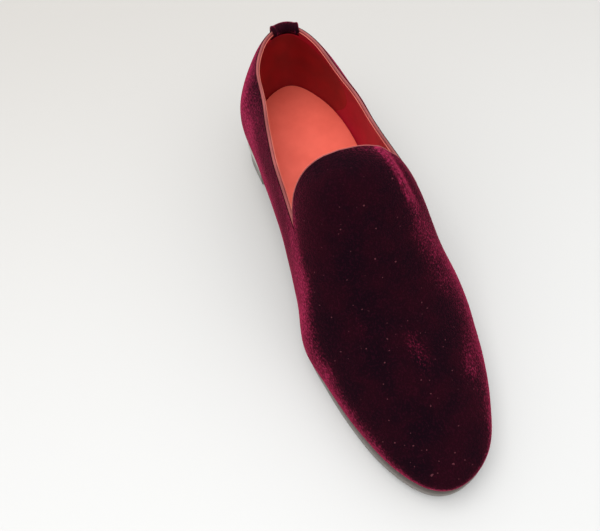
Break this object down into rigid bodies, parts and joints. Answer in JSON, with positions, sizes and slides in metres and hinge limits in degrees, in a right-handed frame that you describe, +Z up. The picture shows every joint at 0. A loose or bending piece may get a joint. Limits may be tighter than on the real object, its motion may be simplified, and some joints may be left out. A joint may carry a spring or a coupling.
{
  "type": "velvet loafer",
  "caption": "Left slip-on velvet loafer with a plain vamp, rounded tongue, bound collar, folded heel tab, thin leather sole and low heel.",
  "frame": {"origin": "on the floor, under the middle of the shoe's box", "axes": "-Y towards the toe, +Z up, -X towards the inner side of the foot"},
  "size_m": [0.1, 0.298, 0.1077],
  "materials": {
    "velvet": "burgundy velvet pile",
    "sole": "dark brown, waxed edge",
    "heel_stack": "dark brown, waxed edge",
    "sock": "coral red, satin",
    "binding": "mauve, satin"
  },
  "bodies": {
    "root": {"upper": "velvet", "outsole": "sole", "heel": "heel_stack", "insole": "sock", "quarter_binding": "binding", "vamp_binding": "binding", "heel_tab": "velvet"}
  },
  "joints": []
}
